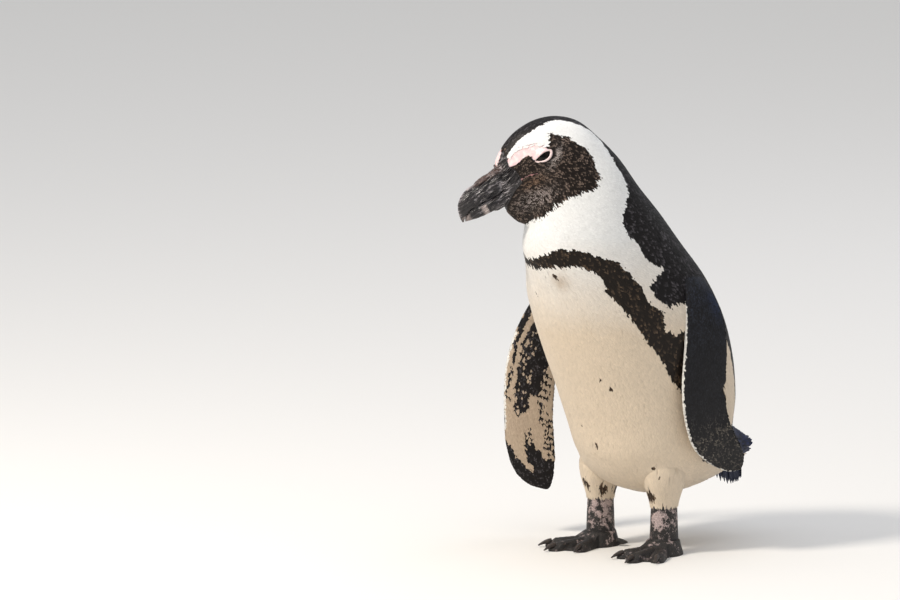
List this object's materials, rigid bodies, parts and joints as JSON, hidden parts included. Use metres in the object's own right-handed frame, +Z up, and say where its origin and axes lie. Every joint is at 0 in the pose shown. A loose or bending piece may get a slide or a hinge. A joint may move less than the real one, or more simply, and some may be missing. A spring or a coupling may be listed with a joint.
{
  "type": "african penguin figure",
  "caption": "Life-size still model of an adult African penguin standing on both feet, head lowered and turned to its right, one flipper held out.",
  "frame": {"origin": "on the ground under the middle of the bird's outline", "axes": "+Z up, -Y the way the bird's body faces, +X towards its left side"},
  "size_m": [0.2282, 0.32, 0.4045],
  "materials": {
    "plumage_black": "short blackish overlapping feathers, satin",
    "plumage_white": "short white feathers, cream on the belly, satin, with a black breast band",
    "horn": "ridged dark horn, half gloss",
    "eye": "dark brown, wet gloss",
    "foot_skin": "scaly black skin with pink blotches",
    "claw": "smooth dark horn"
  },
  "bodies": {
    "root": {"head": "plumage_black", "neck": "plumage_white", "trunk": "plumage_white", "tail": "plumage_black", "flipper_left": "plumage_black", "flipper_right": "plumage_black", "thigh_left": "plumage_white", "thigh_right": "plumage_white", "bill_upper": "horn", "bill_lower": "horn", "eye_left": "eye", "eye_right": "eye", "shank_left": "foot_skin", "shank_right": "foot_skin", "foot_left": "foot_skin", "foot_right": "foot_skin", "hind_toe_left": "foot_skin", "hind_toe_right": "foot_skin", "claw_left_1": "claw", "claw_left_2": "claw", "claw_left_3": "claw", "claw_right_1": "claw", "claw_right_2": "claw", "claw_right_3": "claw"}
  },
  "joints": []
}
